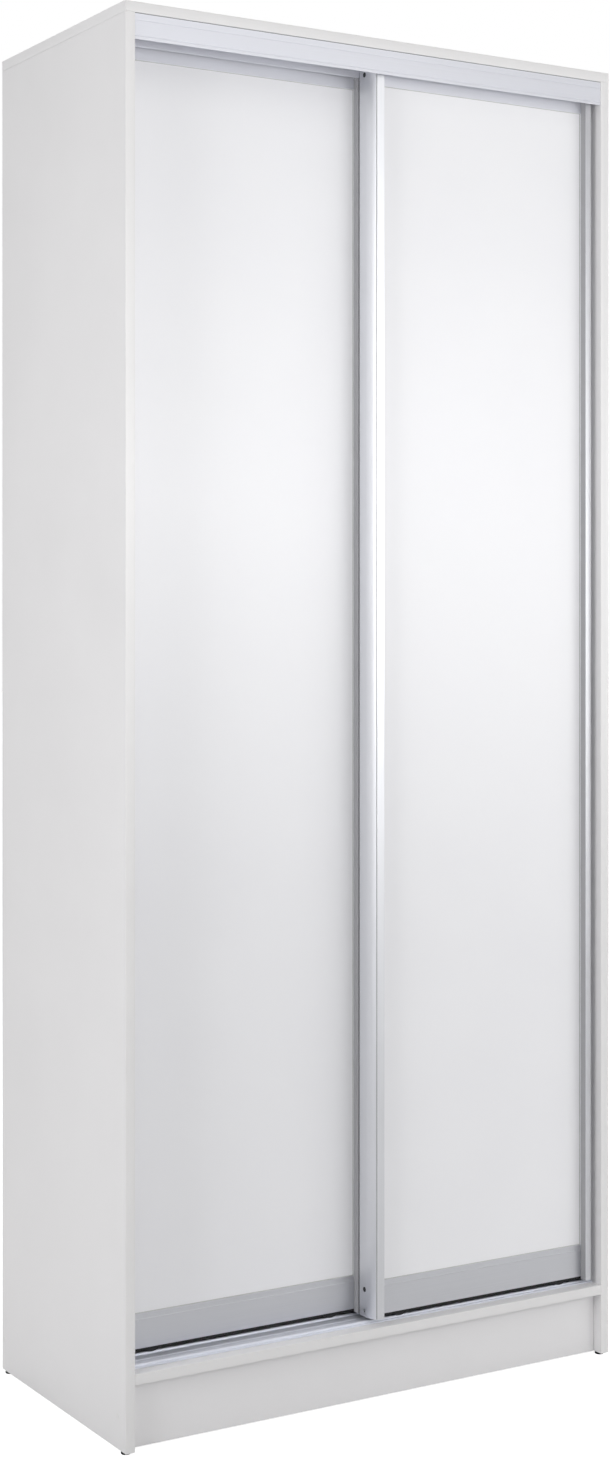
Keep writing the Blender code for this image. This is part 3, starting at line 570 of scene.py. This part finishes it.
SCREW_STEPS = 32
HOLE_BACK = 29 * MM
PLUG_HEIGHT = 44 * MM
PLUG_RADIUS = 4.1 * MM
PLUG_SUNK = 0.3 * MM
SCREW_SUNK = 2.5 * MM
LOW_HOLE = 9.5 * MM
HIGH_HOLE = 17.5 * MM
frame_rings = screw_rings(2.5 * MM, 0.9 * MM)
for door in ("left_door", "right_door"):
    work = bmesh.new()
    # a black plug fills the wheel's adjusting hole and the hole at the head
    plugs = bmesh.new()
    for side, axis in (("left", -X), ("right", X)):
        low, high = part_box(f"{door}_{side}_stile")
        place = Vector((low.x if side == "left" else high.x, low.y + HOLE_BACK, low.z + LOW_HOLE))
        add_turned(work, frame_rings, place - axis * SCREW_SUNK, axis, SCREW_STEPS)
        for z in (low.z + PLUG_HEIGHT, high.z - HIGH_HOLE):
            place.z = z
            add_turned(plugs, plug_rings(PLUG_RADIUS), place - axis * PLUG_SUNK, axis)
    add_piece(f"{door}_frame_screws", work, zinc, door)
    add_piece(f"{door}_hole_plugs", plugs, black_polypropylene, door)

HOLDER_SCREW_INSET = 7 * MM
HOLDER_SCREW_DROP = 3 * MM
holder_screws = bmesh.new()
holder_rings = screw_rings(3.2 * MM, 1.4 * MM)
for end in ("front", "rear"):
    low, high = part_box(f"rail_holder_{end}")
    middle = (low + high) / 2
    for x in (low.x + HOLDER_SCREW_INSET, high.x - HOLDER_SCREW_INSET):
        place = Vector((x, middle.y, high.z - HOLDER_SCREW_DROP))
        add_turned(holder_screws, holder_rings, place, -Z, SCREW_STEPS)
add_piece("rail_holder_screws", holder_screws, zinc, "carcass")

TRACK_SCREW_INSET = 7 * MM
TRACK_FLOOR = 1.3 * MM
track_screws = bmesh.new()
track_low, track_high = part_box("bottom_track")
for share in (-0.42, -0.14, 0.14, 0.42):
    x = share * (track_high.x - track_low.x)
    place = Vector((x, track_high.y - TRACK_SCREW_INSET, track_low.z + TRACK_FLOOR))
    add_turned(track_screws, screw_rings(3.0 * MM, 0.5 * MM), place, Z, SCREW_STEPS)
add_piece("bottom_track_screws", track_screws, zinc, "carcass")
print("Caps, cam covers and screws added")

# %% Glides and tube plugs
glides = bmesh.new()
feet = [f"{side}_{end}_foot" for side in ("left", "right") for end in ("front", "rear")]
for foot in feet:
    low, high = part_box(foot)
    middle = (low + high) / 2
    radius = (high.x - low.x) / 2
    tall = high.z - low.z
    rings = [
        (radius * 0.12, 0.5 * MM), (radius * 0.22, 0), (radius * 0.72, 0), (radius * 0.9, tall * 0.1),
        (radius, tall * 0.32), (radius, tall * 0.8), (radius * 0.93, tall),
    ]
    add_turned(glides, rings, Vector((middle.x, middle.y, low.z)), Z, 32)
glides = add_piece("nail_on_glides", glides, black_polypropylene, "carcass")
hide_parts(*feet)

plugs = bmesh.new()
tube_low, tube_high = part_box("hanging_rail")
tube_middle = (tube_low + tube_high) / 2
tube_radius = (tube_high.x - tube_low.x) / 2
for y, axis in ((tube_low.y, -Y), (tube_high.y, Y)):
    rings = [
        (tube_radius * 0.88, -8 * MM), (tube_radius * 0.88, 0.1 * MM), (tube_radius * 0.99, 0.1 * MM),
        (tube_radius * 0.99, 1.2 * MM), (tube_radius * 0.9, 1.8 * MM), (tube_radius * 0.5, 2.1 * MM),
    ]
    add_turned(plugs, rings, Vector((tube_middle.x, y, tube_middle.z)), axis, 40)
add_piece("hanging_rail_plugs", plugs, white_polypropylene, "carcass")
print("Glides and tube plugs added")

# %% [markdown]
# ## Gaskets, liners and pile seals
#
# Each door panel is pressed into its frame with a soft vinyl bead, which shows as a fine rim all round
# the panel, front and back. The outer stile of each door carries a strip of pile that brushes the side
# of the carcass. About two thousand small leaning tufts on each door make the pile look like fibre rather
# than a solid bar.
#
# The inner wall of every stile, where fingers reach in, has a thin grey strip that paints the shade in that
# recess, and the crease on its face is floored with the same grey as a painted shade line. A black strip
# hangs below each bottom rail and paints the deep shade in the gap above the wheels. A fine grey strip in the
# slit between the top board and the fascia paints its shadow line. A strip of pile on the back of the right
# door's left stile fills most of the gap between the two doors, stops below the head track, and is black to
# paint the shade in that gap.

# %% Gaskets
def add_mitred_frame(work, low, high, y, outward, outline):
    """Sweeps (inward, outward) points round a rectangle in the XZ plane, with mitred corners."""
    rows = []
    for u, v in outline:
        left, right, bottom, top = low.x + u, high.x - u, low.z + u, high.z - u
        corners = ((left, bottom), (right, bottom), (right, top), (left, top))
        rows.append([work.verts.new((cx, y + outward * v, cz)) for cx, cz in corners])
    for index, row in enumerate(rows):
        before = rows[index - 1]
        for corner in range(4):
            work.faces.new((before[corner - 1], before[corner], row[corner], row[corner - 1]))


BEAD = [(-0.3, -0.3), (-0.3, 1.0), (0.15, 1.0), (0.7, 0.8), (1.15, 0.35), (1.3, -0.05), (1.2, -0.3)]
bead_outline = [(u * MM, v * MM) for u, v in BEAD]
for door in ("left_door", "right_door"):
    panel_low, panel_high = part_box(f"{door}_panel")
    low = Vector((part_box(f"{door}_left_stile")[1].x, 0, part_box(f"{door}_bottom_rail")[1].z))
    high = Vector((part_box(f"{door}_right_stile")[0].x, 0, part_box(f"{door}_top_rail")[0].z))
    for face, y, outward in (("front", panel_low.y, -1), ("rear", panel_high.y, 1)):
        work = bmesh.new()
        add_mitred_frame(work, low, high, y, outward, bead_outline)
        add_piece(f"{door}_{face}_gasket", work, clear_grey_vinyl, door)

# %% Painted shade: stile strips and rail skirts
# grey strips on each stile's inner wall and in the crease on its face paint the shade there
SHADE_STRIP_INSET = 0.8 * MM
SHADE_STRIP_PROUD = 0.3 * MM
SKIRT_THICK = 1.3 * MM
SKIRT_DROP = 3.8 * MM
CREASE_SHADE_STRIP = [(7.0, 3.65), (8.35, 3.3), (7.85, 4.6)]
crease_shade_outline = [(u * MM, v * MM) for u, v in CREASE_SHADE_STRIP]
for door in ("left_door", "right_door"):
    rail_low, rail_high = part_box(f"{door}_bottom_rail")
    shade_strips = bmesh.new()
    for side, inward in (("left", 1), ("right", -1)):
        low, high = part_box(f"{door}_{side}_stile")
        x = high.x if inward > 0 else low.x
        depth = rail_low.y - low.y - 2 * SHADE_STRIP_INSET
        outline = rounded_strip(depth, SHADE_STRIP_PROUD, 0.2 * MM)
        run = Z * (high.z - low.z - 2 * SHADE_STRIP_INSET)
        add_bar(shade_strips, outline, Vector((x, low.y + SHADE_STRIP_INSET, low.z + SHADE_STRIP_INSET)), Y, X * inward, run)
        corner = Vector((low.x if inward > 0 else high.x, low.y, low.z + SHADE_STRIP_INSET))
        add_bar(shade_strips, crease_shade_outline, corner, X * inward, Y, run)
    add_piece(f"{door}_stile_painted_shade_strips", shade_strips, painted_shade_vinyl, door, 20)

    # this black strip paints the shade in the gap between the bottom rail and the floor track
    skirt = bmesh.new()
    outline = rounded_strip(SKIRT_THICK, SKIRT_DROP, 0.5 * MM)
    start = Vector((rail_low.x, rail_low.y + 0.1 * MM, rail_low.z))
    # the strip hangs down, so only its lower half shows below the rail
    add_bar(skirt, [(u, max(v, -0.3 * MM)) for u, v in outline], start, Y, -Z, X * (rail_high.x - rail_low.x))
    add_piece(f"{door}_rail_painted_shade_skirt", skirt, painted_shade_rubber, door, 20)

# %% Painted shadow line between the top board and the fascia
SHADOW_LINE_TALL = 1.0 * MM
SHADOW_LINE_PROUD = 0.15 * MM
fascia_low, fascia_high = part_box("top_track")
# this grey strip paints the shadow line in the slit between the top board and the fascia
joint = bmesh.new()
start = Vector((fascia_low.x, fascia_low.y, fascia_high.z - SHADOW_LINE_TALL))
outline = rounded_strip(SHADOW_LINE_TALL, SHADOW_LINE_PROUD, 0.1 * MM)
add_bar(joint, outline, start, Z, -Y, X * (fascia_high.x - fascia_low.x))
add_piece("fascia_painted_shadow_strip", joint, grey_joint, "carcass", 20)

# %% Pile between the two doors
BRUSH_THICK = 2.2 * MM
BRUSH_WIDTH = 3 * MM
BRUSH_CLEAR = 1.5 * MM
BRUSH_FOOT = 4 * MM
BRUSH_INSET = 0.6 * MM
# the pile strip is a real part, and its black colour paints the shade in the gap between the doors
low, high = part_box("right_door_left_stile")
overlap_brush = bmesh.new()
outline = rounded_strip(BRUSH_WIDTH, BRUSH_THICK, 0.5 * MM)
start = Vector((low.x + BRUSH_INSET, high.y, low.z + BRUSH_FOOT))
# it stops below the head track, whose middle wall runs between the two doors
add_bar(overlap_brush, outline, start, X, Y, Z * (fascia_low.z - BRUSH_CLEAR - start.z))
add_piece("right_door_overlap_brush", overlap_brush, painted_shade_pile, "right_door", 20)

# %% Pile seals
TUFT_PITCH = 3 * MM
PILE_BACKING = 0.8 * MM
TUFT_ROOT = 0.7 * MM
SEAL_END = 2 * MM
TUFT_ROWS = (-1.9 * MM, 0, 1.9 * MM)
random.seed(7)


def add_tuft(work, root, tip, spread_y):
    """A small four-sided tuft that tapers a little towards its tip."""
    up = Z * 1.3 * MM
    wide = Y * spread_y
    corners = ((-1, -1), (1, -1), (1, 1), (-1, 1))
    base = [work.verts.new(root + wide * a + up * b) for a, b in corners]
    end = [work.verts.new(tip + wide * a * 0.7 + up * b * 0.6) for a, b in corners]
    work.faces.new(end)
    for index in range(4):
        work.faces.new((base[index - 1], base[index], end[index], end[index - 1]))


for door, outward in (("left_door", -1), ("right_door", 1)):
    low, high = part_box(f"{door}_edge_seal")
    inner = high.x if outward < 0 else low.x
    thick = high.x - low.x
    middle_y = (low.y + high.y) / 2
    work = bmesh.new()
    size = high - low
    outline = [(0, 0), (size.y, 0), (size.y, PILE_BACKING), (0, PILE_BACKING)]
    add_bar(work, outline, Vector((inner, low.y, low.z)), Y, X * outward, Z * size.z)
    z = low.z + SEAL_END
    while z < high.z - SEAL_END:
        for row in TUFT_ROWS:
            root_z = z + random.uniform(-0.4, 0.4) * MM
            root = Vector((inner + outward * TUFT_ROOT, middle_y + row, root_z))
            reach = thick - TUFT_ROOT - random.uniform(0, 0.5) * MM
            lean = Vector((0, random.uniform(-0.4, 0.4), random.uniform(-0.8, 0.8))) * MM
            add_tuft(work, root, root + X * outward * reach + lean, 0.9 * MM)
        z += TUFT_PITCH
    pile = add_piece(f"{door}_pile_seal", work, pile_fibre, door)
    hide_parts(f"{door}_edge_seal")
print("Gaskets and pile seals added")

# %% [markdown]
# ## The back
#
# The two leaves of the back meet on the middle line under a white plastic strip, and are nailed all
# round and into the hat shelf.

# %% Joint strip and nails
leaf_low, leaf_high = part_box("back_panel_left")
STRIP_WIDTH = 22 * MM
strip = bmesh.new()
outline = rounded_strip(STRIP_WIDTH, 1.0 * MM, 0.6 * MM)
start = Vector((-STRIP_WIDTH / 2, leaf_high.y, leaf_low.z))
add_bar(strip, outline, start, X, Y, Z * (leaf_high.z - leaf_low.z))
add_piece("back_joint_strip", strip, white_polypropylene, "carcass")

NAIL_PITCH = 150 * MM
NAIL_INSET = 6 * MM
shelf_low, shelf_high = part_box("hat_shelf")
rows = (leaf_high.z - NAIL_INSET, leaf_low.z + NAIL_INSET, (shelf_low.z + shelf_high.z) / 2)
places = []
count = round((leaf_high.z - leaf_low.z) / NAIL_PITCH)
for step in range(1, count):
    z = leaf_low.z + (leaf_high.z - leaf_low.z) * step / count
    places += [(leaf_low.x + NAIL_INSET, z), (-leaf_low.x - NAIL_INSET, z)]
for z in rows:
    for share in (-0.97, -0.72, -0.48, -0.24, 0.24, 0.48, 0.72, 0.97):
        places.append((share * -leaf_low.x, z))
nails = bmesh.new()
for x, z in places:
    rings = [(1.5 * MM, -0.4 * MM), (2.2 * MM, 0), (2.1 * MM, 0.3 * MM), (1.2 * MM, 0.5 * MM)]
    add_turned(nails, rings, Vector((x, leaf_high.y, z)), Y, 12)
add_piece("back_nails", nails, zinc, "carcass")
print(len(places), "nails in the back")

# %% [markdown]
# ## Floor and light
#
# White furniture on a white ground needs soft light with a direction, or its edges vanish. Six boxes in
# front, overhead and to the right give the doors their brightest patch just above the middle, and let
# them fall off towards the head and the plinth. Two on the left light the side a little less than the
# front, so the corner reads. A small strip low in front reaches into the shade under the fascia, where a
# room would throw light back up. The last three boxes light the right side, the top and the back. An even
# fill comes from all round, and the camera sees the surroundings as plain white.
#
# The floor glows for the camera only. That keeps it white out to the horizon without lighting the
# furniture from below.

# %% Floor
FLOOR_SIZE = 60
FLOOR_GLOW = 0.9
floor_mesh = bpy.data.meshes.new("studio_floor")
half = FLOOR_SIZE / 2
corners = [(-half, -half, 0), (half, -half, 0), (half, half, 0), (-half, half, 0)]
floor_mesh.from_pydata(corners, [], [(0, 1, 2, 3)])
floor = bpy.data.objects.new("studio_floor", floor_mesh)
bpy.context.scene.collection.objects.link(floor)
floor_material, floor_shader = start_material("pale_studio_floor", Roughness=0.9)
floor_cloud = pattern(floor_material, 400 * MM)
floor_colour = tint(floor_material, floor_cloud, "D2D2D2", "D4D4D4")
connect(floor_material, floor_colour, floor_shader.inputs["Base Color"])
seen = add_node(floor_material, "LightPath").outputs["Is Camera Ray"]
glow = add_node(floor_material, "Math", {0: seen, 1: FLOOR_GLOW}, operation="MULTIPLY").outputs[0]
floor_shader.inputs["Emission Color"].default_value = hex_colour("FFFFFF")
connect(floor_material, glow, floor_shader.inputs["Emission Strength"])
floor_mesh.materials.append(floor_material)

# %% Light
FILL_STRENGTH = 0.2
BACKDROP_STRENGTH = 1.0
world = bpy.data.worlds.new("studio")
bpy.context.scene.world = world
world.use_nodes = True
world_nodes = world.node_tree.nodes
world_links = world.node_tree.links
fill = world_nodes["Background"]
fill.inputs["Color"].default_value = hex_colour("FFFFFF")
fill.inputs["Strength"].default_value = FILL_STRENGTH
backdrop = world_nodes.new("ShaderNodeBackground")
backdrop.inputs["Color"].default_value = hex_colour("FFFFFF")
backdrop.inputs["Strength"].default_value = BACKDROP_STRENGTH
ray = world_nodes.new("ShaderNodeLightPath")
choose = world_nodes.new("ShaderNodeMixShader")
world_links.new(ray.outputs["Is Camera Ray"], choose.inputs["Fac"])
world_links.new(fill.outputs[0], choose.inputs[1])
world_links.new(backdrop.outputs[0], choose.inputs[2])
world_links.new(choose.outputs[0], world_nodes["World Output"].inputs["Surface"])


def soft_box(name, place, target, size, power):
    """A white rectangular area light that faces a point."""
    data = bpy.data.lights.new(name, "AREA")
    data.shape = "RECTANGLE"
    data.size, data.size_y = size
    data.energy = power
    light = bpy.data.objects.new(name, data)
    light.location = place
    light.rotation_euler = (Vector(target) - Vector(place)).to_track_quat("-Z", "Y").to_euler()
    light.visible_camera = False
    bpy.context.scene.collection.objects.link(light)


SOFT_BOXES = {
    "overhead": ((0, -2.2, 3.4), (0, -0.3, 1.0), (3.0, 1.6), 10),
    "right_high": ((1.7, -2.9, 2.5), (0, -0.2, 1.4), (1.8, 1.4), 1.5),
    "right_mid": ((2.1, -2.8, 1.35), (0, -0.2, 1.2), (2.6, 1.1), 25),
    "right_far": ((3.0, -1.5, 1.4), (0, -0.2, 1.2), (1.4, 1.6), 9),
    "front_high": ((0.6, -3.4, 2.7), (0, -0.2, 2.0), (2.4, 0.9), 5.5),
    "front_mid": ((0.2, -3.6, 1.5), (0, -0.2, 1.3), (1.6, 1.6), 21.5),
    "under_fascia": ((-0.1, -1.0, 1.5), (0, -0.14, 2.2), (1.1, 0.2), 1.6),
    "left_high": ((-3.0, -0.9, 2.4), (-0.46, 0, 1.4), (1.8, 1.4), 14),
    "left_mid": ((-3.2, -0.7, 1.45), (-0.46, 0, 1.3), (1.8, 1.2), 45),
    "right_side": ((3.2, 0.9, 1.9), (0.46, 0.1, 1.2), (1.8, 1.4), 38),
    "top": ((0, 0.5, 4.0), (0, 0.1, 2.2), (1.8, 1.2), 16),
    "rear": ((0.9, 2.6, 3.4), (0, 0.2, 1.1), (2.2, 1.8), 55),
}
for name, (place, target, size, power) in SOFT_BOXES.items():
    soft_box(name + "_softbox", place, target, size, power)
bpy.context.scene.view_settings.view_transform = "Standard"
print("Lights:", len(bpy.data.lights))
